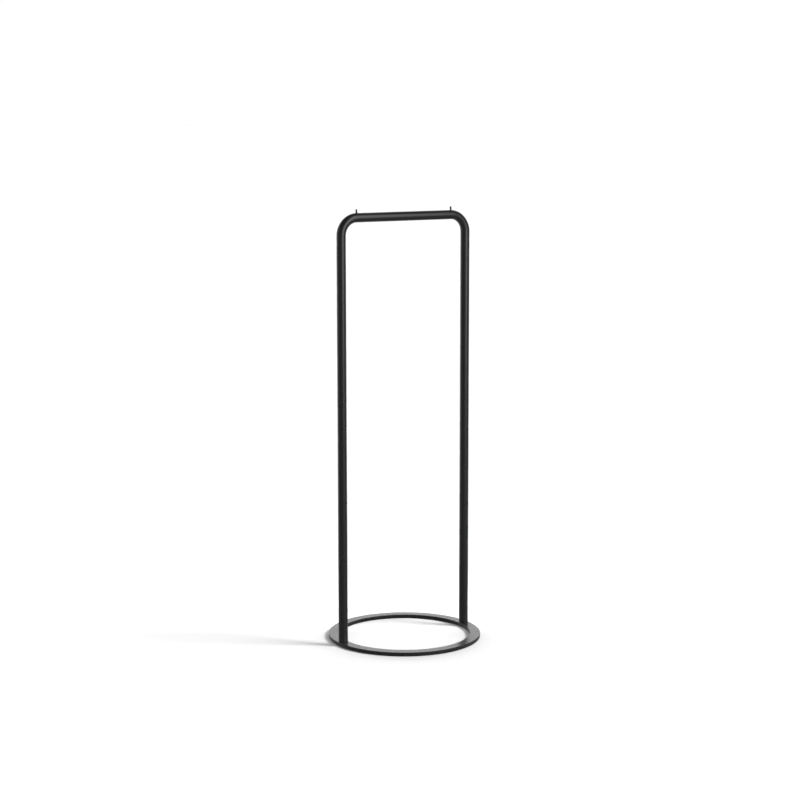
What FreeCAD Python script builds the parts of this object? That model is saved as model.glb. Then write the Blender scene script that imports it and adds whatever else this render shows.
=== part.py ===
"""Standing coat rack: a flat steel ring on the floor carries one tube bent into an upside-down U.

Frame: millimetres, +Z up, origin on the floor at the ring's centre, and the hanging bar runs along X.
Each sub-part is a separate piece and goes to parts/NODE.step.
"""

import FreeCAD
import Part
import math
import os

Vector = FreeCAD.Vector
UP = Vector(0, 0, 1)
ORIGIN = Vector(0, 0, 0)
FULL_TURN = 360.0
TOLERANCE = 1e-6
OVERCUT = 1.0  # how far a cutter runs past the face that it leaves

# Driving dimensions.
RACK_HEIGHT = 1400.0  # floor to the top of the hanging bar
RING_OUTER_D = 500.0
RING_BAND = 34.0  # width of the flat band
RING_THICKNESS = 12.0
RING_EDGE_RADIUS = 0.8
TUBE_D = 30.0
TUBE_WALL = 1.5
TUBE_END_CHAMFER = 0.4
BEND_RADIUS = 56.0  # of the tube's centre line

# Glides: thin rubber discs stuck under the ring, which carry the rack on the floor.
GLIDE_COUNT = 8
GLIDE_D = 22.0
GLIDE_THICKNESS = 1.0
GLIDE_EDGE_CHAMFER = 0.2

# Hanger pins: they stand where the straight of the bar meets the bends.
PIN_D = 6.0
PIN_PROUD = 12.0  # above the top of the bar
PIN_TAIL = 4.5  # below the top of the bar, through the tube's wall
PIN_DOME_RADIUS = 3.8
PIN_TAIL_CHAMFER = 0.5

# M8 joint between the ring and each leg: a countersunk screw from below into a threaded insert.
THREAD_D = 8.0
THREAD_PITCH = 1.25
THREAD_DEPTH = 0.68
THREAD_CREST = THREAD_PITCH / 8
THREAD_ROOT = THREAD_PITCH / 4
THREAD_GAP = 0.05  # radial room between the screw's thread and the insert's
SCREW_LENGTH = 30.0  # the head counts
SCREW_HEAD_D = 16.0
SCREW_HEAD_RIM = 0.4
SCREW_TIP_CHAMFER = 1.0
SCREW_SINK = 0.4  # how far the head lies above the ring's underside
SOCKET_SIDES = 6
SOCKET_ACROSS_FLATS = 5.0
SOCKET_DEPTH = 3.2
SOCKET_LEAD_IN = 0.3
CLEARANCE_HOLE_D = 9.0
SEAT_GAP = 0.02  # between the head and its conical seat
INSERT_LENGTH = 26.0
INSERT_RECESS = 0.5  # the tube's end stands this far past the insert
INSERT_CHAMFER = 0.8

# Places that follow from the dimensions above.
RING_BOTTOM = GLIDE_THICKNESS
RING_TOP = RING_BOTTOM + RING_THICKNESS
RING_OUTER_R = RING_OUTER_D / 2
RING_INNER_R = RING_OUTER_R - RING_BAND
LEG_X = RING_OUTER_R - RING_BAND / 2  # the legs stand on the middle of the band
TUBE_R = TUBE_D / 2
BORE_R = TUBE_R - TUBE_WALL
BAR_Z = RACK_HEIGHT - TUBE_R
BEND_Z = BAR_Z - BEND_RADIUS
BEND_X = LEG_X - BEND_RADIUS
SCREW_HEAD_Z = RING_BOTTOM + SCREW_SINK
INSERT_BOTTOM = RING_TOP + INSERT_RECESS

SIDES = (("left", -1), ("right", 1))


def revolved(profile):
    """A solid turned about Z from a closed (radius, height) outline of straight lines."""
    points = [Vector(radius, 0, height) for radius, height in profile]
    outline = Part.makePolygon(points + points[:1])
    return Part.Face(outline).revolve(ORIGIN, UP, FULL_TURN)


def moved(shape, x, y, z=0.0):
    """A copy of a shape carried to a place."""
    copy = shape.copy()
    copy.translate(Vector(x, y, z))
    return copy


def thread_profile(major_r, bottom, top):
    """(radius, height) points of the thread's outline from bottom to top: one ridge to each pitch."""
    flank = (THREAD_PITCH - THREAD_CREST - THREAD_ROOT) / 2
    minor_r = major_r - THREAD_DEPTH
    points = [(minor_r, bottom)]
    first = math.ceil(bottom / THREAD_PITCH)
    for turn in range(first, int(top / THREAD_PITCH)):
        height = turn * THREAD_PITCH + THREAD_ROOT / 2
        points += [
            (minor_r, height),
            (major_r, height + flank),
            (major_r, height + flank + THREAD_CREST),
            (minor_r, height + 2 * flank + THREAD_CREST),
        ]
    return points + [(minor_r, top)]


def base_ring():
    """Flat ring cut from plate, with eased edges and a countersunk hole under each leg."""
    r = RING_EDGE_RADIUS
    ring = Part.makeCylinder(RING_OUTER_R, RING_THICKNESS)
    ring = ring.cut(Part.makeCylinder(RING_INNER_R, RING_THICKNESS))
    ring = ring.makeFillet(r, [edge for edge in ring.Edges if isinstance(edge.Curve, Part.Circle)])
    ring = moved(ring, 0, 0, RING_BOTTOM)
    head_r = SCREW_HEAD_D / 2 + SEAT_GAP
    hole_r = CLEARANCE_HOLE_D / 2
    mouth = SCREW_HEAD_Z + SCREW_HEAD_RIM
    hole = revolved(
        [
            (0, RING_BOTTOM - OVERCUT),
            (head_r, RING_BOTTOM - OVERCUT),
            (head_r, mouth),
            (hole_r, mouth + head_r - hole_r),
            (hole_r, RING_TOP + OVERCUT),
            (0, RING_TOP + OVERCUT),
        ]
    )
    for _, side in SIDES:
        ring = ring.cut(moved(hole, side * LEG_X, 0))
    return ring


def frame_path():
    """Centre line of the frame: up the left leg, round the bend, along the bar and down the right leg."""
    lean = BEND_RADIUS * math.sin(math.pi / 4)  # half-way round a bend
    feet = [Vector(side * LEG_X, 0, RING_TOP) for _, side in SIDES]
    shoulders = [Vector(side * LEG_X, 0, BEND_Z) for _, side in SIDES]
    bends = [Vector(side * (BEND_X + lean), 0, BEND_Z + lean) for _, side in SIDES]
    ends = [Vector(side * BEND_X, 0, BAR_Z) for _, side in SIDES]
    return Part.Wire(
        [
            Part.LineSegment(feet[0], shoulders[0]).toShape(),
            Part.Arc(shoulders[0], bends[0], ends[0]).toShape(),
            Part.LineSegment(ends[0], ends[1]).toShape(),
            Part.Arc(ends[1], bends[1], shoulders[1]).toShape(),
            Part.LineSegment(shoulders[1], feet[1]).toShape(),
        ]
    )


def swept(radius):
    """A solid rod of this radius along the frame's centre line."""
    circle = Part.makeCircle(radius, Vector(-LEG_X, 0, RING_TOP), UP)
    return frame_path().makePipeShell([Part.Wire([circle])], True, False)


def frame_tube():
    """One length of tube with two bends, chamfered feet, and a hole for each pin in its upper wall."""
    tube = swept(TUBE_R).cut(swept(BORE_R))
    foot_rims = [
        edge
        for edge in tube.Edges
        if abs(edge.BoundBox.ZMax - RING_TOP) < TOLERANCE
        and abs(edge.BoundBox.XLength - TUBE_D) < TOLERANCE
    ]
    tube = tube.makeChamfer(TUBE_END_CHAMFER, foot_rims)
    drill = Part.makeCylinder(PIN_D / 2, TUBE_R, Vector(0, 0, BAR_Z + TUBE_R / 2))
    for _, side in SIDES:
        tube = tube.cut(moved(drill, side * BEND_X, 0))
    return tube


def hanger_pin():
    """Round steel pin with a domed top, at X 0. Its tail sits in the hole in the bar's upper wall."""
    r = PIN_D / 2
    top = RACK_HEIGHT + PIN_PROUD
    bottom = RACK_HEIGHT - PIN_TAIL
    shoulder = top - (PIN_DOME_RADIUS - math.sqrt(PIN_DOME_RADIUS**2 - r**2))
    half = math.asin(r / PIN_DOME_RADIUS) / 2
    on_dome = Vector(
        PIN_DOME_RADIUS * math.sin(half), 0, top - PIN_DOME_RADIUS * (1 - math.cos(half))
    )
    corners = [
        Vector(0, 0, top),
        Vector(0, 0, bottom),
        Vector(r - PIN_TAIL_CHAMFER, 0, bottom),
        Vector(r, 0, bottom + PIN_TAIL_CHAMFER),
        Vector(r, 0, shoulder),
    ]
    edges = [Part.LineSegment(a, b).toShape() for a, b in zip(corners, corners[1:])]
    edges.append(Part.Arc(corners[-1], on_dome, corners[0]).toShape())
    return Part.Face(Part.Wire(edges)).revolve(ORIGIN, UP, FULL_TURN)


def leg_insert():
    """Round plug welded in a leg's end, at X 0, with a threaded hole right through it."""
    top = INSERT_BOTTOM + INSERT_LENGTH
    mouth_r = THREAD_D / 2 + THREAD_GAP
    bore = thread_profile(mouth_r, INSERT_BOTTOM + THREAD_PITCH, top - THREAD_PITCH)
    return revolved(
        [(mouth_r, INSERT_BOTTOM)]
        + bore
        + [
            (mouth_r, top),
            (BORE_R - INSERT_CHAMFER, top),
            (BORE_R, top - INSERT_CHAMFER),
            (BORE_R, INSERT_BOTTOM + INSERT_CHAMFER),
            (BORE_R - INSERT_CHAMFER, INSERT_BOTTOM),
        ]
    )


def leg_screw():
    """Countersunk screw with a hexagon socket, at X 0, driven from under the ring."""
    head_r = SCREW_HEAD_D / 2
    shank_r = THREAD_D / 2
    rim = SCREW_HEAD_Z + SCREW_HEAD_RIM
    neck = rim + head_r - shank_r
    tip = SCREW_HEAD_Z + SCREW_LENGTH
    root_r = shank_r - THREAD_DEPTH
    blank = revolved(
        [(0, SCREW_HEAD_Z), (head_r, SCREW_HEAD_Z), (head_r, rim), (shank_r, neck)]
        + thread_profile(shank_r, neck + THREAD_PITCH, tip - SCREW_TIP_CHAMFER)
        + [(root_r - SCREW_TIP_CHAMFER, tip), (0, tip)]
    )
    corner_r = SOCKET_ACROSS_FLATS / math.sqrt(3)
    turns = [2 * math.pi * i / SOCKET_SIDES for i in range(SOCKET_SIDES)]
    corners = [Vector(corner_r * math.cos(t), corner_r * math.sin(t), SCREW_HEAD_Z) for t in turns]
    socket = Part.Face(Part.makePolygon(corners + corners[:1])).extrude(UP * SOCKET_DEPTH)
    lead_in = Part.makeCone(corner_r + SOCKET_LEAD_IN, corner_r - SOCKET_LEAD_IN, 2 * SOCKET_LEAD_IN)
    return blank.cut(socket).cut(moved(lead_in, 0, 0, SCREW_HEAD_Z))


def glide():
    """Thin rubber disc at the origin, its wide face up against the ring."""
    r = GLIDE_D / 2
    c = GLIDE_EDGE_CHAMFER
    return revolved([(0, 0), (r - c, 0), (r, c), (r, GLIDE_THICKNESS), (0, GLIDE_THICKNESS)])


def all_parts():
    """Every node of the rack, by name."""
    parts = {"base_ring": base_ring(), "frame_tube": frame_tube()}
    for name, side in SIDES:
        parts[f"hanger_pin_{name}"] = moved(hanger_pin(), side * BEND_X, 0)
        parts[f"leg_insert_{name}"] = moved(leg_insert(), side * LEG_X, 0)
        parts[f"leg_screw_{name}"] = moved(leg_screw(), side * LEG_X, 0)
    for i in range(GLIDE_COUNT):
        angle = 2 * math.pi * (i + 0.5) / GLIDE_COUNT
        parts[f"floor_glide_{i + 1}"] = moved(glide(), LEG_X * math.cos(angle), LEG_X * math.sin(angle))
    return parts


os.makedirs("parts", exist_ok=True)
for node, shape in all_parts().items():
    box = shape.BoundBox
    assert shape.isValid() and len(shape.Solids) == 1, f"{node} is not one valid solid"
    shape.Solids[0].exportStep(f"parts/{node}.step")
    print(f"{node}: {box.XLength:.1f} x {box.YLength:.1f} x {box.ZLength:.1f} mm, {shape.Volume:.0f} mm3")
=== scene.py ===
"""The looks of a standing coat rack: a bent steel tube on a flat steel ring, powder coated black.

Metres, +Z up, the origin on the floor in the middle of the ring, and the hanging bar along X.
"""

import bmesh
import bpy
import math
import numpy as np
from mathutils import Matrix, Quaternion, Vector


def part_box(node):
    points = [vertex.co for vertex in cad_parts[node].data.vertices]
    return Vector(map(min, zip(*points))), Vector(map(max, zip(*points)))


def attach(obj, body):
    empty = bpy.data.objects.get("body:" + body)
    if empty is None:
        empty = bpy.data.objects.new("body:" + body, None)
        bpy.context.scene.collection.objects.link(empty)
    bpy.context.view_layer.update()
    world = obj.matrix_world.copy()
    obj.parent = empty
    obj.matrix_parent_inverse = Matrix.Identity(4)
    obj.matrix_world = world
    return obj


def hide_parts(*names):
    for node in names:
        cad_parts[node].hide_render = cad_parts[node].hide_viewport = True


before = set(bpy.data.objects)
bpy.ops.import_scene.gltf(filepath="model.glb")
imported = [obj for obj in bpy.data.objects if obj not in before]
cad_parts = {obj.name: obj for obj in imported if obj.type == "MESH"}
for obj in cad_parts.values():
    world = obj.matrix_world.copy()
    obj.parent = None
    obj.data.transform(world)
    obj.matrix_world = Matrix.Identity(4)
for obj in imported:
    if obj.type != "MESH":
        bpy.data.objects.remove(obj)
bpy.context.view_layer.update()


# ---------------------------------------------------------------------------------------- Base ring
# One flat ring, laser cut from 12 mm steel plate, with its edges eased so that the paint holds there.
# It has a countersunk hole under each leg, and is powder coated all over before the rack is screwed
# together, so the coat lies thinner and a little rougher on the eased edges.

ring_low, ring_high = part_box("base_ring")
RING_OUTER = round(ring_high.x, 3)
RING_BAND = 0.034
RING_EASE = 0.0008
RING_FACETS = 360
EASE_STEPS = 6
SUPPORT = 0.0004  # flat stretch beside an eased edge, which keeps the shading of the flat face flat
SHARP_ANGLE = math.radians(35)
MERGE_DISTANCE = 1e-7
CUT_MERGE_DISTANCE = 5e-6
OVERCUT = 0.001

screw_low, screw_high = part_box("leg_screw_left")
LEG_X = -(screw_low.x + screw_high.x) / 2
SIDES = {"left": -1, "right": 1}
HEAD_RADIUS = 0.008
HEAD_RIM = 0.0004
HEAD_SEAT_GAP = 0.00002
CLEARANCE_RADIUS = 0.0045


def surface(name, points, edge=None, loop=False):
    """A mesh through a grid of points [row, column, xyz], with four-sided faces between neighbours.

    The last column joins the first, and with loop the last row joins the first row. Rows that shrink
    to one point close as poles. edge gives each row's attribute eased_edge, from 0 to 1. The UV map
    runs from 0 to 1 round the columns, and in metres across the rows, measured on the first column.
    """
    rows, columns = points.shape[:2]
    number = np.arange(rows * columns).reshape(rows, columns)
    across = np.linalg.norm(np.diff(points[:, 0], axis=0, append=points[:1, 0]), axis=1)
    v = np.concatenate([[0.0], np.cumsum(across)])[: rows + loop]
    u = np.arange(columns + 1) / columns
    number = np.hstack([number, number[:, :1]])
    if loop:
        number = np.vstack([number, number[:1]])

    def corners(grid):
        """Each face's four corner values, in the order that goes round it."""
        return np.stack([grid[:-1, :-1], grid[:-1, 1:], grid[1:, 1:], grid[1:, :-1]], axis=-1)

    mesh = bpy.data.meshes.new(name)
    mesh.from_pydata(points.reshape(-1, 3).tolist(), [], corners(number).reshape(-1, 4).tolist())
    u_grid, v_grid = np.meshgrid(u, v)
    uv = np.stack([corners(u_grid), corners(v_grid)], axis=-1)
    mesh.uv_layers.new(name="turned").data.foreach_set("uv", uv.ravel())
    if edge is None:
        edge = np.zeros(rows)
    mark = mesh.attributes.new("eased_edge", "FLOAT", "POINT")
    mark.data.foreach_set("value", np.repeat(edge, columns))

    work = bmesh.new()
    work.from_mesh(mesh)
    bmesh.ops.remove_doubles(work, verts=work.verts, dist=MERGE_DISTANCE)
    bmesh.ops.recalc_face_normals(work, faces=work.faces)
    work.to_mesh(mesh)
    work.free()
    mesh.shade_smooth()
    mesh.set_sharp_from_angle(angle=SHARP_ANGLE)
    piece = bpy.data.objects.new(name, mesh)
    bpy.context.scene.collection.objects.link(piece)
    return piece


def polar(radius, height, x=0.0, y=0.0):
    """Points [row, column] at x + r cos t, y + r sin t and z, where t goes once round the columns."""
    radius, height = np.broadcast_arrays(radius, height)
    columns = radius.shape[1]
    t = 2 * np.pi * np.arange(columns) / columns
    return np.stack([x + radius * np.cos(t), y + radius * np.sin(t), height], axis=-1)


def turned(name, profile, columns, x=0.0, y=0.0, edge=None, loop=False):
    """A profile of (radius, height) rows turned about the upright line through x, y."""
    profile = np.array(profile, float)
    radius = np.repeat(profile[:, :1], columns, axis=1)
    return surface(name, polar(radius, profile[:, 1:], x, y), edge, loop)


def eased_section(inner, outer, bottom, top, ease):
    """Closed outline of a flat bar, as (radius, height) and an edge mark for each point.

    Each corner is a quarter circle: centre + ease (cos t, sin t). A support point lies on the flat
    before it and one after it.
    """
    turn = np.linspace(0, np.pi / 2, EASE_STEPS + 1)
    centres = [(outer, bottom), (outer, top), (inner, top), (inner, bottom)]
    inward = [(-1, 1), (-1, -1), (1, -1), (1, 1)]
    points, marks = [], []
    for i, ((r, z), (dr, dz)) in enumerate(zip(centres, inward)):
        t = turn + (i - 1) * np.pi / 2
        arc = np.column_stack([r + ease * (dr + np.cos(t)), z + ease * (dz + np.sin(t))])
        before = arc[0] - SUPPORT * np.array([-np.sin(t[0]), np.cos(t[0])])
        after = arc[-1] + SUPPORT * np.array([-np.sin(t[-1]), np.cos(t[-1])])
        points += [before, *arc, after]
        marks += [0, *np.sin(2 * turn), 0]
    return np.array(points), np.array(marks, float)


def cut(piece, cutters):
    """Takes the cutters' volume out of a piece, joins points that all but meet, and drops the cutters."""
    for cutter in cutters:
        boolean = piece.modifiers.new("cut", "BOOLEAN")
        boolean.object = cutter
        boolean.solver = "EXACT"
    graph = bpy.context.evaluated_depsgraph_get()
    mesh = bpy.data.meshes.new_from_object(piece.evaluated_get(graph))
    piece.modifiers.clear()
    piece.data = mesh
    work = bmesh.new()
    work.from_mesh(mesh)
    bmesh.ops.remove_doubles(work, verts=work.verts, dist=CUT_MERGE_DISTANCE)
    bmesh.ops.dissolve_degenerate(work, edges=work.edges, dist=MERGE_DISTANCE)
    work.to_mesh(mesh)
    work.free()
    mesh.set_sharp_from_angle(angle=SHARP_ANGLE)
    for cutter in cutters:
        bpy.data.objects.remove(cutter)


def node_maker(tree):
    """A function that makes a node in this tree, and sets each of its inputs or links it to a socket."""

    def make(kind, inputs=None, **settings):
        made = tree.nodes.new(kind)
        for key, value in settings.items():
            setattr(made, key, value)
        for key, value in (inputs or {}).items():
            if isinstance(value, bpy.types.NodeSocket):
                tree.links.new(value, made.inputs[key])
            else:
                made.inputs[key].default_value = value
        return made

    return make


def new_group(name, inputs, outputs):
    """A shader node group that has its sockets, but no nodes between them yet.

    inputs gives each input's usual value, or None for a vector. Returns the group, its node maker,
    the sockets that its nodes read from and the sockets that they end in.
    """
    group = bpy.data.node_groups.new(name, "ShaderNodeTree")
    for socket, usual in inputs.items():
        kind = "NodeSocketVector" if usual is None else "NodeSocketFloat"
        made = group.interface.new_socket(socket, in_out="INPUT", socket_type=kind)
        if usual is not None:
            made.default_value = usual
    for socket in outputs:
        group.interface.new_socket(socket, in_out="OUTPUT", socket_type="NodeSocketFloat")
    make = node_maker(group)
    return group, make, make("NodeGroupInput").outputs, make("NodeGroupOutput").inputs


PATCHES_PER_METRE = 14.0


def orange_peel_group():
    """Skin of a sprayed or moulded surface: low round bumps, finer grain on them, and slow patches.

    Height is the bumps plus the grain times its share. Patches is a soft noise from 0 to 1 over a few
    centimetres, for changes of gloss and tone.
    """
    usual = {"Vector": None, "Bumps per metre": 600.0, "Grain per metre": 2600.0, "Grain share": 0.12}
    group, make, given, result = new_group("orange_peel", usual, ["Height", "Patches"])
    vector = given["Vector"]
    bumps = make(
        "ShaderNodeTexNoise",
        {"Vector": vector, "Scale": given["Bumps per metre"], "Detail": 1.0, "Roughness": 0.4},
    )
    grain = make(
        "ShaderNodeTexNoise",
        {"Vector": vector, "Scale": given["Grain per metre"], "Detail": 3.0, "Roughness": 0.6},
    )
    height = make(
        "ShaderNodeMath",
        {0: grain.outputs["Fac"], 1: given["Grain share"], 2: bumps.outputs["Fac"]},
        operation="MULTIPLY_ADD",
    )
    patches = make(
        "ShaderNodeTexNoise",
        {"Vector": vector, "Scale": PATCHES_PER_METRE, "Detail": 4.0, "Roughness": 0.55},
    )
    spread = make(
        "ShaderNodeMapRange", {"Value": patches.outputs["Fac"], "From Min": 0.3, "From Max": 0.7}
    )
    group.links.new(height.outputs["Value"], result["Height"])
    group.links.new(spread.outputs["Result"], result["Patches"])
    return group


def thin_edge_group():
    """Where a coat draws back from an edge: the edge mark, broken up by noise along the edge."""
    group, make, given, result = new_group(
        "thin_edge", {"Vector": None, "Edge": 0.0, "Breaks per metre": 90.0, "Amount": 0.5}, ["Mask"]
    )
    noise = make(
        "ShaderNodeTexNoise",
        {"Vector": given["Vector"], "Scale": given["Breaks per metre"], "Detail": 4.0, "Roughness": 0.6},
    )
    broken = make(
        "ShaderNodeMapRange", {"Value": noise.outputs["Fac"], "From Min": 0.42, "From Max": 0.72}
    )
    edge = make("ShaderNodeMath", {0: given["Edge"], 1: broken.outputs["Result"]}, operation="MULTIPLY")
    mask = make("ShaderNodeMath", {0: edge.outputs["Value"], 1: given["Amount"]}, operation="MULTIPLY")
    group.links.new(mask.outputs["Value"], result["Mask"])
    return group


ORANGE_PEEL = orange_peel_group()
THIN_EDGE = thin_edge_group()
COAT_BLACK = (0.0100, 0.0100, 0.0104, 1)
COAT_BLACK_WORN = (0.030, 0.030, 0.031, 1)
COAT_IOR = 1.5
THIN_COAT_DULLER = 0.12  # roughness that a thin coat adds


def shader_material(name):
    """A material with one Principled shader: the material, its node maker and the shader."""
    material = bpy.data.materials.new(name)
    material.use_nodes = True
    shader = material.node_tree.nodes["Principled BSDF"]
    return material, node_maker(material.node_tree), shader


def mix_colours(make, factor, first, second):
    """A colour that goes from the first to the second with a factor that changes over the surface."""
    mix = make("ShaderNodeMix", {"Factor": factor}, data_type="RGBA")
    mix.inputs["A"].default_value = first
    mix.inputs["B"].default_value = second
    return mix.outputs["Result"]


def powder_coat(name, bumps, relief, gloss):
    """Satin black powder coat: an even black with orange peel, in patches a shade duller or glossier.

    bumps is the number of orange peel bumps to a metre, relief their height in metres, and gloss the
    lowest and highest roughness.
    """
    material, make, shader = shader_material(name)
    place = make("ShaderNodeTexCoord").outputs["Object"]
    peel = make("ShaderNodeGroup", node_tree=ORANGE_PEEL)
    thin = make("ShaderNodeGroup", node_tree=THIN_EDGE)
    link = material.node_tree.links.new
    link(place, peel.inputs["Vector"])
    link(place, thin.inputs["Vector"])
    peel.inputs["Bumps per metre"].default_value = bumps
    edge = make("ShaderNodeAttribute", attribute_name="eased_edge")
    link(edge.outputs["Fac"], thin.inputs["Edge"])
    colour = mix_colours(make, thin.outputs["Mask"], COAT_BLACK, COAT_BLACK_WORN)
    sheen = make(
        "ShaderNodeMapRange", {"Value": peel.outputs["Patches"], "To Min": gloss[0], "To Max": gloss[1]}
    )
    rough = make(
        "ShaderNodeMath",
        {0: thin.outputs["Mask"], 1: THIN_COAT_DULLER, 2: sheen.outputs["Result"]},
        operation="MULTIPLY_ADD",
    )
    bump = make(
        "ShaderNodeBump", {"Height": peel.outputs["Height"], "Strength": 1.0, "Distance": relief}
    )
    link(colour, shader.inputs["Base Color"])
    link(rough.outputs["Value"], shader.inputs["Roughness"])
    link(bump.outputs["Normal"], shader.inputs["Normal"])
    shader.inputs["IOR"].default_value = COAT_IOR
    return material


def fit(piece, material, slot, *nodes):
    """Gives a finished piece its material, and puts it in the place of its CAD nodes. slot is not used.
    """
    piece.data.materials.clear()
    piece.data.materials.append(material)
    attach(piece, "root")
    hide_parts(*nodes)


section, marks = eased_section(RING_OUTER - RING_BAND, RING_OUTER, ring_low.z, ring_high.z, RING_EASE)
ring = turned("plate_ring", section, RING_FACETS, edge=marks, loop=True)
seat_radius = HEAD_RADIUS + HEAD_SEAT_GAP
seat_mouth = screw_low.z + HEAD_RIM
countersink = [
    (0, ring_low.z - OVERCUT),
    (seat_radius, ring_low.z - OVERCUT),
    (seat_radius, seat_mouth),
    (CLEARANCE_RADIUS, seat_mouth + seat_radius - CLEARANCE_RADIUS),
    (CLEARANCE_RADIUS, ring_high.z + OVERCUT),
    (0, ring_high.z + OVERCUT),
]
cut(ring, [turned("countersink", countersink, 96, x=side * LEG_X) for side in SIDES.values()])
plate_coat = powder_coat("plate_powder_coat", bumps=620.0, relief=0.00005, gloss=(0.25, 0.30))
fit(ring, plate_coat, "black_powder_coat", "base_ring")


# --------------------------------------------------------------------------------------- Bent frame
# One length of 30 mm round steel tube with a 1.5 mm wall, bent twice on a mandrel to an upside-down U.
# The bends draw the tube a little flat on the outside. Its cut feet are chamfered, stand square on the
# ring, and are pulled down on it by the leg screws, which leaves a fine seam round each foot.

tube_low, tube_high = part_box("frame_tube")
TUBE_RADIUS = 0.015
TUBE_WALL = 0.0015
FOOT_CHAMFER = 0.0004
FOOT_Z = tube_low.z
BAR_TOP = round(tube_high.z, 4)
BAR_Z = BAR_TOP - TUBE_RADIUS
BEND_RADIUS = 0.056
BEND_X = LEG_X - BEND_RADIUS
BEND_Z = BAR_Z - BEND_RADIUS
BEND_FLATTENING = 0.02
BEND_STEPS = 40
STRAIGHT_STEP = 0.04
TUBE_FACETS = 96
PIN_RADIUS = 0.003


def frame_line():
    """Centre line of the frame from the left foot to the right one.

    Gives the points, the unit vector out of the frame at each, and how far round a bend each is, as
    sin(2b)^2 of the bend's angle b, so 1 half-way round and 0 on the straights. On the left bend a
    point is the bend's centre + radius (-cos b, sin b), and the right half mirrors the left.
    """
    up = np.linspace(FOOT_Z, BEND_Z, round((BEND_Z - FOOT_Z) / STRAIGHT_STEP) + 1)
    up = np.sort(np.append(up, FOOT_Z + FOOT_CHAMFER))[:-1]
    b = np.linspace(0, np.pi / 2, BEND_STEPS + 1)
    along = np.linspace(-BEND_X, 0, round(BEND_X / STRAIGHT_STEP) + 1)[1:]
    x = np.concatenate([np.full(len(up), -LEG_X), -BEND_X - BEND_RADIUS * np.cos(b), along])
    z = np.concatenate([up, BEND_Z + BEND_RADIUS * np.sin(b), np.full(len(along), BAR_Z)])
    turn = np.concatenate([np.zeros(len(up)), b, np.full(len(along), np.pi / 2)])
    left = np.column_stack([x, 0 * x, z])
    out = np.column_stack([-np.cos(turn), 0 * turn, np.sin(turn)])
    bent = np.sin(2 * turn) ** 2
    mirror = np.array([-1, 1, 1])
    points = np.vstack([left, left[-2::-1] * mirror])
    return points, np.vstack([out, out[-2::-1] * mirror]), np.concatenate([bent, bent[-2::-1]])


def tube_skin(radius, points, out, bent):
    """Rings of a tube round its centre line: point + r (out cos a (1 - flattening) + Y sin a)."""
    a = 2 * np.pi * np.arange(TUBE_FACETS) / TUBE_FACETS
    r = np.broadcast_to(radius, len(points))[:, None]
    in_plane = r * (1 - BEND_FLATTENING * bent[:, None]) * np.cos(a)
    skin = points[:, None] + out[:, None] * in_plane[..., None]
    skin[..., 1] += r * np.sin(a)
    return skin


line = frame_line()
outer_radius = np.full(len(line[0]), TUBE_RADIUS)
outer_radius[[0, -1]] -= FOOT_CHAMFER
outer_skin = tube_skin(outer_radius, *line)
inner_skin = tube_skin(TUBE_RADIUS - TUBE_WALL, *line)
foot_mark = np.zeros(2 * len(outer_skin))
foot_mark[[0, 1, len(outer_skin) - 2, len(outer_skin) - 1]] = 1
tube = surface("bent_tube", np.vstack([outer_skin, inner_skin[::-1]]), foot_mark, loop=True)
drill = [(0, BAR_Z + TUBE_RADIUS / 2), (PIN_RADIUS, BAR_Z + TUBE_RADIUS / 2)]
drill += [(r, BAR_TOP + OVERCUT) for r, _ in drill[::-1]]
cut(tube, [turned("drill", drill, 48, x=side * BEND_X) for side in SIDES.values()])
tube_coat = powder_coat("tube_powder_coat", bumps=680.0, relief=0.000045, gloss=(0.26, 0.31))
fit(tube, tube_coat, "black_powder_coat", "frame_tube")


# -------------------------------------------------------------------------------------- Hanger pins
# Two short round steel pins with domed tops stand where the bar runs into its bends, and stop a
# hanger from sliding off the straight. Each is set in a drilled hole and welded round, and the weld
# is dressed to a small hollow fillet before coating.

PIN_TAIL_CHAMFER = 0.0005
PIN_DOME_RADIUS = 0.0038
PIN_FILLET = 0.0009
PIN_SUNK = 0.00005  # how far the fillet's toe dips under the tube's skin
PIN_FACETS = 64
PIN_STEPS = 8


def bar_top(x, y):
    """Height of the frame's top skin over x, y: a cylinder on the bar, and part of a torus on a bend."""
    over_bend = np.clip(np.abs(x) - BEND_X, 0, None)
    ridge = np.sqrt(TUBE_RADIUS**2 - y**2)
    return BEND_Z + np.sqrt((BEND_RADIUS + ridge) ** 2 - over_bend**2)


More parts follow.
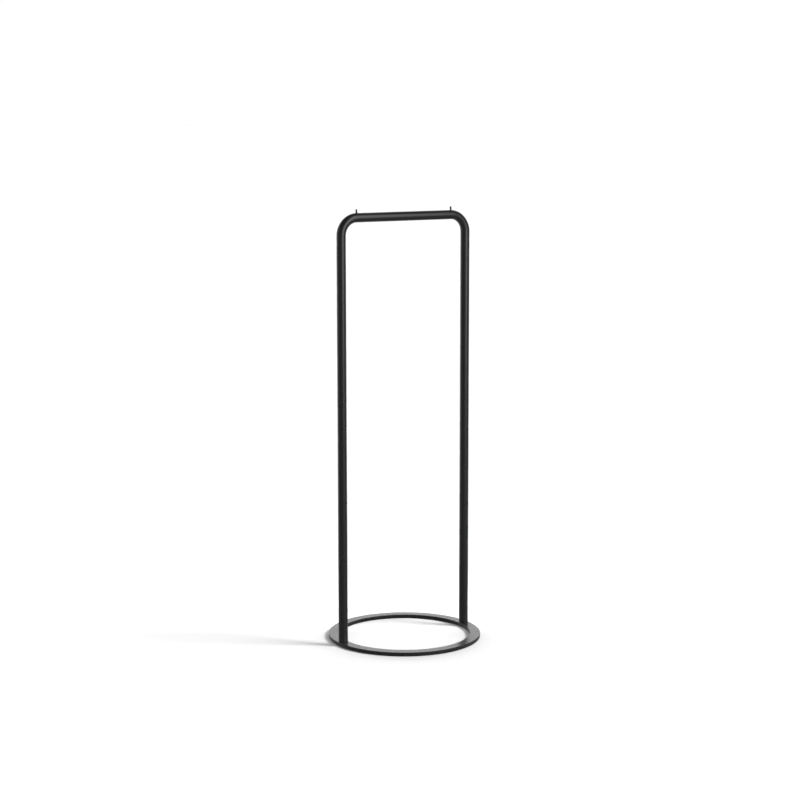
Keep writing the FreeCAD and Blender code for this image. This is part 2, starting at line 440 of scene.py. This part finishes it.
def hanger_pin(name, x):
    """One pin: tail, shaft and dome turned about its axis, and a fillet whose toe follows the bar's skin.

    The fillet's rows are at r = pin + fillet (1 - cos a) and height bar_top + fillet (1 - sin a), and
    the dome's at r = dome sin b and height top - dome (1 - cos b).
    """
    low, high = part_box(f"hanger_pin_{name}")
    a = np.linspace(np.pi / 2, 0, PIN_STEPS)
    b = np.linspace(math.asin(PIN_RADIUS / PIN_DOME_RADIUS), 0, PIN_STEPS)
    tail_r = np.array([0, PIN_RADIUS - PIN_TAIL_CHAMFER, PIN_RADIUS])
    tail_z = np.array([low.z, low.z, low.z + PIN_TAIL_CHAMFER])
    fillet_r = PIN_RADIUS + PIN_FILLET * (1 - np.cos(a))
    fillet_z = PIN_FILLET * (1 - np.sin(a))
    collar_r = np.concatenate([[PIN_RADIUS], fillet_r[:1], fillet_r])[:, None]
    collar_z = np.concatenate([[-PIN_SUNK, -PIN_SUNK], fillet_z])[:, None]
    dome_r = PIN_DOME_RADIUS * np.sin(b)
    dome_z = high.z - PIN_DOME_RADIUS * (1 - np.cos(b))
    flat_collar = polar(np.repeat(collar_r, PIN_FACETS, axis=1), collar_z, x)
    flat_collar[..., 2] += bar_top(flat_collar[..., 0], flat_collar[..., 1])
    tail = polar(np.repeat(tail_r[:, None], PIN_FACETS, axis=1), tail_z[:, None], x)
    dome = polar(np.repeat(dome_r[:, None], PIN_FACETS, axis=1), dome_z[:, None], x)
    rows = np.vstack([tail, flat_collar, dome])
    edge = np.zeros(len(rows))
    edge[-PIN_STEPS] = 1
    return surface(f"{name}_pin", rows, edge)


pin_coat = powder_coat("pin_powder_coat", bumps=1100.0, relief=0.00003, gloss=(0.28, 0.34))
for name, side in SIDES.items():
    fit(hanger_pin(name, side * BEND_X), pin_coat, "black_powder_coat", f"hanger_pin_{name}")


# -------------------------------------------------------------------------------------- Leg inserts
# A round steel plug is pressed and welded into each foot of the tube, and takes the leg screw in an
# M8 thread right through it. It is turned from bar and left bare, as it is shut inside the leg.

THREAD_RADIUS = 0.004
PITCH = 0.00125
THREAD_DEPTH = 0.00068
THREAD_GAP = 0.00005
THREAD_STEPS = 10  # rows to a pitch
THREAD_FACETS = 48
CREST = 1 / 8  # shares of the pitch
ROOT = 1 / 4
INSERT_RADIUS = TUBE_RADIUS - TUBE_WALL
INSERT_CHAMFER = 0.0008


def thread(major, bottom, top):
    """A V thread between two heights: its radii [row, column], a fade [row, 1] and its heights [row, 1].

    How far a point stands from the root to the crest depends only on height / pitch - angle / full
    turn, so the ridge climbs one pitch to a turn. The fade goes from 0 at each end to 1 a pitch away,
    and lets the caller run the thread out.
    """
    height = np.linspace(bottom, top, round((top - bottom) / PITCH * THREAD_STEPS) + 1)[:, None]
    turn = np.arange(THREAD_FACETS) / THREAD_FACETS
    from_crest = np.abs((height / PITCH - turn) % 1 - 0.5)
    ridge = np.clip((0.5 - ROOT / 2 - from_crest) / (0.5 - ROOT / 2 - CREST / 2), 0, 1)
    fade = np.clip(np.minimum(height - bottom, top - height) / PITCH, 0, 1)
    return major - THREAD_DEPTH * (1 - ridge), fade, height


def steady(rows):
    """Radii [row, column] and heights [row, 1] of rows that are plain circles."""
    rows = np.array(rows, float)
    return np.repeat(rows[:, :1], THREAD_FACETS, axis=1), rows[:, 1:]


def leg_insert(name, x):
    """A chamfered plug with a threaded bore, as one closed surface: up the outside and down the bore."""
    low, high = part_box(f"leg_insert_{name}")
    mouth = THREAD_RADIUS + THREAD_GAP
    bore, fade, height = thread(mouth, low.z, high.z)
    bore = mouth - (mouth - bore) * fade
    shell_r, shell_z = steady(
        [
            (INSERT_RADIUS - INSERT_CHAMFER, low.z),
            (INSERT_RADIUS, low.z + INSERT_CHAMFER),
            (INSERT_RADIUS, high.z - INSERT_CHAMFER),
            (INSERT_RADIUS - INSERT_CHAMFER, high.z),
        ]
    )
    radius = np.vstack([shell_r, bore[::-1]])
    return surface(f"{name}_insert", polar(radius, np.vstack([shell_z, height[::-1]]), x), loop=True)


def lathe_lines_group():
    """Fine lines left by a lathe tool, from a map whose Y runs across them: noise stretched along X."""
    usual = {"Vector": None, "Lines per metre": 9000.0, "Wander": 3.0}
    group, make, given, result = new_group("lathe_lines", usual, ["Height", "Tone"])
    split = make("ShaderNodeSeparateXYZ", {"Vector": given["Vector"]})
    across = make(
        "ShaderNodeMath", {0: split.outputs["Y"], 1: given["Lines per metre"]}, operation="MULTIPLY"
    )
    along = make("ShaderNodeMath", {0: split.outputs["X"], 1: given["Wander"]}, operation="MULTIPLY")
    joined = make("ShaderNodeCombineXYZ", {"X": along.outputs["Value"], "Y": across.outputs["Value"]})
    lines = make(
        "ShaderNodeTexNoise", {"Vector": joined.outputs["Vector"], "Scale": 1.0, "Detail": 3.0}
    )
    group.links.new(lines.outputs["Fac"], result["Height"])
    tone = make("ShaderNodeMapRange", {"Value": lines.outputs["Fac"], "From Min": 0.3, "From Max": 0.7})
    group.links.new(tone.outputs["Result"], result["Tone"])
    return group


LATHE_LINES = lathe_lines_group()


def bare_metal(name, dark, light, rough, relief):
    """Bare or plated metal with lathe lines: the tone and the roughness go with the lines.

    rough is the lowest and highest roughness, and relief the height of the lines in metres.
    """
    material, make, shader = shader_material(name)
    link = material.node_tree.links.new
    lines = make("ShaderNodeGroup", node_tree=LATHE_LINES)
    link(make("ShaderNodeUVMap", uv_map="turned").outputs["UV"], lines.inputs["Vector"])
    link(mix_colours(make, lines.outputs["Tone"], dark, light), shader.inputs["Base Color"])
    roughness = make(
        "ShaderNodeMapRange", {"Value": lines.outputs["Tone"], "To Min": rough[0], "To Max": rough[1]}
    )
    link(roughness.outputs["Result"], shader.inputs["Roughness"])
    bump = make(
        "ShaderNodeBump", {"Height": lines.outputs["Height"], "Strength": 1.0, "Distance": relief}
    )
    link(bump.outputs["Normal"], shader.inputs["Normal"])
    shader.inputs["Metallic"].default_value = 1.0
    return material


turned_steel = bare_metal(
    "turned_steel",
    dark=(0.30, 0.29, 0.28, 1),
    light=(0.46, 0.45, 0.44, 1),
    rough=(0.28, 0.42),
    relief=0.000004,
)
for name, side in SIDES.items():
    fit(leg_insert(name, side * LEG_X), turned_steel, "plain_steel", f"leg_insert_{name}")


# --------------------------------------------------------------------------------------- Leg screws
# An M8 countersunk screw with a hexagon socket comes up through the ring under each leg and draws the
# foot down. It is cold headed and rolled steel, zinc plated, and its head sits just inside the plate.

SOCKET_FLATS = 0.005
SOCKET_DEPTH = 0.0032
SOCKET_LEAD_IN = 0.0003
SOCKET_STEPS = 5
SCREW_TIP_CHAMFER = 0.001
HEAD_CHAMFER = 0.0001


def leg_screw(name, x):
    """One screw as a closed surface of revolution, but for its socket and its thread.

    The socket's wall is at r = half the flats / cos(angle from the nearest flat), widened at the mouth
    by a cone. From there the rows run over the head, up its cone and the thread, and close at the tip.
    """
    low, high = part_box(f"leg_screw_{name}")
    sixth = np.pi / 3
    t = 2 * np.pi * np.arange(THREAD_FACETS) / THREAD_FACETS
    hexagon = SOCKET_FLATS / 2 / np.cos(t % sixth - sixth / 2)
    depth = np.append(SOCKET_DEPTH, np.linspace(2 * SOCKET_LEAD_IN, 0, SOCKET_STEPS))[:, None]
    socket = np.maximum(hexagon, SOCKET_FLATS / math.sqrt(3) + SOCKET_LEAD_IN - depth)
    neck = low.z + HEAD_RIM + HEAD_RADIUS - THREAD_RADIUS
    ridge, fade, height = thread(THREAD_RADIUS, neck, high.z - SCREW_TIP_CHAMFER)
    root = THREAD_RADIUS - THREAD_DEPTH
    floor_r, floor_z = steady([(0, low.z + SOCKET_DEPTH)])
    head_r, head_z = steady(
        [
            (HEAD_RADIUS - HEAD_CHAMFER, low.z),
            (HEAD_RADIUS, low.z + HEAD_CHAMFER),
            (HEAD_RADIUS, low.z + HEAD_RIM),
            (THREAD_RADIUS, neck),
        ]
    )
    tip_r, tip_z = steady([(root - SCREW_TIP_CHAMFER, high.z), (0, high.z)])
    radius = np.vstack([floor_r, socket, head_r, root + (ridge - root) * fade, tip_r])
    heights = np.vstack([floor_z, low.z + depth, head_z, height, tip_z])
    return surface(f"{name}_screw", polar(radius, heights, x))


zinc = bare_metal(
    "zinc_plate",
    dark=(0.50, 0.52, 0.55, 1),
    light=(0.66, 0.67, 0.69, 1),
    rough=(0.24, 0.36),
    relief=0.000002,
)
for name, side in SIDES.items():
    fit(leg_screw(name, side * LEG_X), zinc, "zinc_plated_steel", f"leg_screw_{name}")


# ------------------------------------------------------------------------------------ Floor glides
# Eight thin rubber discs are stuck round the underside of the ring, so that the steel stands clear of
# the floor and doesn't slide. Each is punched from sheet, which leaves its edge slightly waisted.

GLIDE_EDGE = 0.0002
GLIDE_WAIST = 0.00012
GLIDE_STEPS = 6
GLIDE_FACETS = 72
RUBBER_BLACK = (0.014, 0.014, 0.014, 1)
RUBBER_DUSTY = (0.030, 0.029, 0.028, 1)
RUBBER_RELIEF = 0.00004


def rubber(name):
    """Matt black sheet rubber: fine open grain, with faint dusty patches."""
    material, make, shader = shader_material(name)
    link = material.node_tree.links.new
    grain = make("ShaderNodeGroup", node_tree=ORANGE_PEEL)
    link(make("ShaderNodeTexCoord").outputs["Object"], grain.inputs["Vector"])
    grain.inputs["Bumps per metre"].default_value = 1800.0
    grain.inputs["Grain per metre"].default_value = 5000.0
    grain.inputs["Grain share"].default_value = 0.8
    dusty = mix_colours(make, grain.outputs["Patches"], RUBBER_BLACK, RUBBER_DUSTY)
    link(dusty, shader.inputs["Base Color"])
    rough = make(
        "ShaderNodeMapRange", {"Value": grain.outputs["Patches"], "To Min": 0.78, "To Max": 0.9}
    )
    link(rough.outputs["Result"], shader.inputs["Roughness"])
    bump = make(
        "ShaderNodeBump", {"Height": grain.outputs["Height"], "Strength": 1.0, "Distance": RUBBER_RELIEF}
    )
    link(bump.outputs["Normal"], shader.inputs["Normal"])
    return material


def glide(name, node):
    """A disc in its CAD node's place. Its side is at r - waist sin(share of height x pi)."""
    low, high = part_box(node)
    radius = (high.x - low.x) / 2
    x, y = (low.x + high.x) / 2, (low.y + high.y) / 2
    share = np.linspace(0, 1, GLIDE_STEPS)
    side_r = radius - GLIDE_WAIST * np.sin(np.pi * share)
    side_z = low.z + GLIDE_EDGE + share * (high.z - low.z - GLIDE_EDGE)
    rows = [(0, low.z), (radius - GLIDE_EDGE - SUPPORT, low.z), (radius - GLIDE_EDGE, low.z)]
    rows += [*zip(side_r, side_z), (radius - SUPPORT, high.z), (0, high.z)]
    return turned(name, rows, GLIDE_FACETS, x, y)


glide_rubber = rubber("sheet_rubber")
for node in sorted(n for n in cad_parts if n.startswith("floor_glide_")):
    fit(glide(node.replace("floor_glide", "glide_disc"), node), glide_rubber, "black_rubber", node)


# ------------------------------------------------------------------------------------------- Studio
# A white floor runs back to a bright backdrop behind the rack, and the room on the camera's side is
# dim, so the satin black shows soft reflections. A softbox stands to the right of the camera, and a
# black flag beyond it keeps the right-hand rims of the tubes dark.

CAMERA_AZIMUTH = math.radians(-31.48)
CAMERA_DISTANCE = 6.160
CAMERA_HEIGHT = 1.719
CAMERA_TILT = math.radians(8.586)
CAMERA_YAW = math.radians(0.13)
CAMERA_ROLL = math.radians(-0.053)
CAMERA_LENS = 86.2
FLOOR_SIZE = 400.0
FLOOR_WHITE = (0.735, 0.735, 0.735, 1)
# Painted light: a whiter floor colour across the middle stands in for a patch of brighter light, and
# hides the right leg's cast shadow.
FLOOR_PAINTED_LIGHT = (0.97, 0.97, 0.97, 1)  # the whiter stretch across the middle
NEAR_FLOOR_GLOW = 0.26
ROOM_DIM = 0.225
ROOM_RISE = 1.29
ROOM_BEND = 4.0
FLAG_SHARE = 0.25  # what the flag leaves of the room's glow
DOME = 0.38
BACK_BAND = 15.0
WHITE_OUT = 1.02
SUN_STRENGTH = 3.6
SUN_SPREAD = math.radians(20)
SOFTBOX_POWER = 425.0
SOFTBOX_WIDTH = 4.5
SOFTBOX_HEIGHT = 9.8
SOFTBOX_DISTANCE = 6.5
SOFTBOX_CENTRE_Z = 5.0
SOFTBOX_LEAN = math.radians(-12)


def toward(right_of_camera, elevation):
    """Unit vector from the rack, turned in degrees to the right of the camera, and raised in degrees."""
    a = CAMERA_AZIMUTH + math.radians(right_of_camera)
    e = math.radians(elevation)
    return Vector((math.sin(a) * math.cos(e), -math.cos(a) * math.cos(e), math.sin(e)))


def room_glow_group():
    """Brightness of the room in a direction: dim towards the camera, rising to the backdrop behind.

    With b the cosine of the angle from the backdrop's brightest part, it is dim + rise * ((b + 1) /
    reach)^bend. It falls off again towards the ceiling, and round the flag's direction.
    """
    group, make, given, result = new_group("room_glow", {"Vector": None}, ["Glow"])
    unit = make("ShaderNodeVectorMath", {0: given["Vector"]}, operation="NORMALIZE").outputs["Vector"]
    behind = make("ShaderNodeVectorMath", {0: unit, 1: toward(194, 0)}, operation="DOT_PRODUCT")
    share = make(
        "ShaderNodeMapRange", {"Value": behind.outputs["Value"], "From Min": -1.0, "From Max": 0.75}
    ).outputs["Result"]
    rise = make("ShaderNodeMath", {0: share, 1: ROOM_BEND}, operation="POWER").outputs["Value"]
    height = make("ShaderNodeSeparateXYZ", {"Vector": unit}).outputs["Z"]
    ceiling = make(
        "ShaderNodeMapRange",
        {"Value": height, "From Min": 0.3, "From Max": 0.75, "To Min": 1.0, "To Max": 0.1},
        interpolation_type="SMOOTHSTEP",
    ).outputs["Result"]
    at_flag = make(
        "ShaderNodeVectorMath", {0: unit, 1: toward(118, 0)}, operation="DOT_PRODUCT"
    ).outputs["Value"]
    flag = make(
        "ShaderNodeMapRange",
        {"Value": at_flag, "From Min": 0.72, "From Max": 0.96, "To Min": 1.0, "To Max": FLAG_SHARE},
        interpolation_type="SMOOTHSTEP",
    ).outputs["Result"]
    glow = make("ShaderNodeMath", {0: rise, 1: ROOM_RISE, 2: ROOM_DIM}, operation="MULTIPLY_ADD")
    below = make("ShaderNodeMath", {0: glow.outputs["Value"], 1: ceiling}, operation="MULTIPLY")
    held = make("ShaderNodeMath", {0: below.outputs["Value"], 1: flag}, operation="MULTIPLY")
    group.links.new(held.outputs["Value"], result["Glow"])
    return group


ROOM_GLOW = room_glow_group()


def floor():
    """A large floor at Z 0, with painted light: its colour is whiter from the ring's middle to a little
    way behind it, as if more light fell there, which also hides the right leg's shadow.

    Reflections don't see the lit floor: they see the near floor's even glow, which goes over to the
    room's glow with the distance from the rack.
    """
    mesh = bpy.data.meshes.new("floor")
    h = FLOOR_SIZE / 2
    mesh.from_pydata([(-h, -h, 0), (h, -h, 0), (h, h, 0), (-h, h, 0)], [], [(0, 1, 2, 3)])
    piece = bpy.data.objects.new("floor", mesh)
    bpy.context.scene.collection.objects.link(piece)
    material, make, shader = shader_material("white_floor")
    link = material.node_tree.links.new
    place = make("ShaderNodeTexCoord").outputs["Object"]
    depth = make("ShaderNodeVectorMath", {0: place, 1: toward(180, 0)}, operation="DOT_PRODUCT")
    behind = depth.outputs["Value"]
    # Painted light: the floor's colour goes whiter in a band from the ring's middle to a little way
    # behind it.
    front = make("ShaderNodeMapRange", {"Value": behind, "From Min": 0.03, "From Max": 0.13})
    back = make("ShaderNodeMapRange", {"Value": behind, "From Min": 0.9, "From Max": 0.6})
    painted_light_share = make(
        "ShaderNodeMath", {0: front.outputs["Result"], 1: back.outputs["Result"]}, operation="MULTIPLY"
    )
    link(mix_colours(make, painted_light_share.outputs["Value"], FLOOR_WHITE, FLOOR_PAINTED_LIGHT), shader.inputs["Base Color"])
    shader.inputs["Roughness"].default_value = 0.9
    shader.inputs["Specular IOR Level"].default_value = 0.0
    glow = make("ShaderNodeGroup", node_tree=ROOM_GLOW)
    link(place, glow.inputs["Vector"])
    away = make("ShaderNodeVectorMath", {0: place}, operation="LENGTH").outputs["Value"]
    far = make("ShaderNodeMapRange", {"Value": away, "From Min": 0.25, "From Max": 4.0}).outputs["Result"]
    strength = make(
        "ShaderNodeMix", {"Factor": far, "A": NEAR_FLOOR_GLOW, "B": glow.outputs["Glow"]}
    )
    mirrored = make("ShaderNodeEmission", {"Strength": strength.outputs["Result"]})
    reflected = make("ShaderNodeLightPath").outputs["Is Glossy Ray"]
    mix = make(
        "ShaderNodeMixShader", {0: reflected, 1: shader.outputs["BSDF"], 2: mirrored.outputs["Emission"]}
    )
    link(mix.outputs["Shader"], material.node_tree.nodes["Material Output"].inputs["Surface"])
    mesh.materials.append(material)


def light(name, kind, direction, energy, **settings):
    """A lamp, itself unseen, that shines from a direction onto the middle of the rack."""
    data = bpy.data.lights.new(name, kind)
    data.energy = energy
    lamp = bpy.data.objects.new(name, data)
    lamp.visible_camera = False
    lamp.rotation_mode = "QUATERNION"
    lamp.rotation_quaternion = direction.to_track_quat("Z", "Y")
    for key, value in settings.items():
        setattr(data if hasattr(data, key) else lamp, key, value)
    bpy.context.scene.collection.objects.link(lamp)
    return lamp


def studio_world():
    """White for the camera, the room's glow for reflections, and a dome with a bright band for light.

    The band is low and behind the rack, as light that comes off the backdrop is.
    """
    world = bpy.data.worlds.new("studio")
    bpy.context.scene.world = world
    world.use_nodes = True
    tree = world.node_tree
    tree.nodes.clear()
    make = node_maker(tree)
    direction = make("ShaderNodeTexCoord").outputs["Generated"]
    glow = make("ShaderNodeGroup", node_tree=ROOM_GLOW)
    tree.links.new(direction, glow.inputs["Vector"])
    behind = make("ShaderNodeVectorMath", {0: direction, 1: toward(180, 0)}, operation="DOT_PRODUCT")
    wide = make(
        "ShaderNodeMapRange", {"Value": behind.outputs["Value"], "From Min": 0.1, "From Max": 0.6}
    ).outputs["Result"]
    height = make("ShaderNodeSeparateXYZ", {"Vector": direction}).outputs["Z"]
    low = make(
        "ShaderNodeMapRange",
        {"Value": height, "From Min": 0.10, "From Max": 0.35, "To Min": 1.0, "To Max": 0.0},
    ).outputs["Result"]
    band = make("ShaderNodeMath", {0: wide, 1: low}, operation="MULTIPLY").outputs["Value"]
    lighting = make(
        "ShaderNodeMath", {0: band, 1: BACK_BAND, 2: DOME}, operation="MULTIPLY_ADD"
    ).outputs["Value"]
    path = make("ShaderNodeLightPath").outputs
    dome = make("ShaderNodeBackground", {"Strength": lighting})
    room = make("ShaderNodeBackground", {"Strength": glow.outputs["Glow"]})
    white = make("ShaderNodeBackground", {"Strength": WHITE_OUT})
    for background in (dome, room, white):
        background.inputs["Color"].default_value = (1, 1, 1, 1)
    lit = make(
        "ShaderNodeMixShader", {0: path["Is Glossy Ray"], 1: dome.outputs[0], 2: room.outputs[0]}
    )
    seen = make(
        "ShaderNodeMixShader", {0: path["Is Camera Ray"], 1: lit.outputs[0], 2: white.outputs[0]}
    )
    make("ShaderNodeOutputWorld", {"Surface": seen.outputs[0]})


floor()
studio_world()
light("from_right", "SUN", toward(78, 40), SUN_STRENGTH, angle=SUN_SPREAD, visible_glossy=False)
softbox_way = toward(50, 0)
softbox = light(
    "softbox",
    "AREA",
    softbox_way,
    SOFTBOX_POWER,
    shape="RECTANGLE",
    size=SOFTBOX_WIDTH,
    size_y=SOFTBOX_HEIGHT,
    visible_diffuse=False,
)
softbox.location = softbox_way * SOFTBOX_DISTANCE + Vector((0, 0, SOFTBOX_CENTRE_Z))
softbox.rotation_quaternion.rotate(Quaternion(softbox_way, SOFTBOX_LEAN))

scene = bpy.context.scene
scene.view_settings.view_transform = "Standard"
camera_data = bpy.data.cameras.new("camera")
camera_data.lens = CAMERA_LENS
camera_data.clip_end = 1000
camera = bpy.data.objects.new("camera", camera_data)
scene.collection.objects.link(camera)
camera.location = toward(0, 0) * CAMERA_DISTANCE + Vector((0, 0, CAMERA_HEIGHT))
level_aim = -toward(math.degrees(CAMERA_YAW), 0)
aim = level_aim * math.cos(CAMERA_TILT) - Vector((0, 0, math.sin(CAMERA_TILT)))
camera.rotation_euler = aim.to_track_quat("-Z", "Y").to_euler()
camera.rotation_euler.rotate_axis("Z", CAMERA_ROLL)
scene.camera = camera
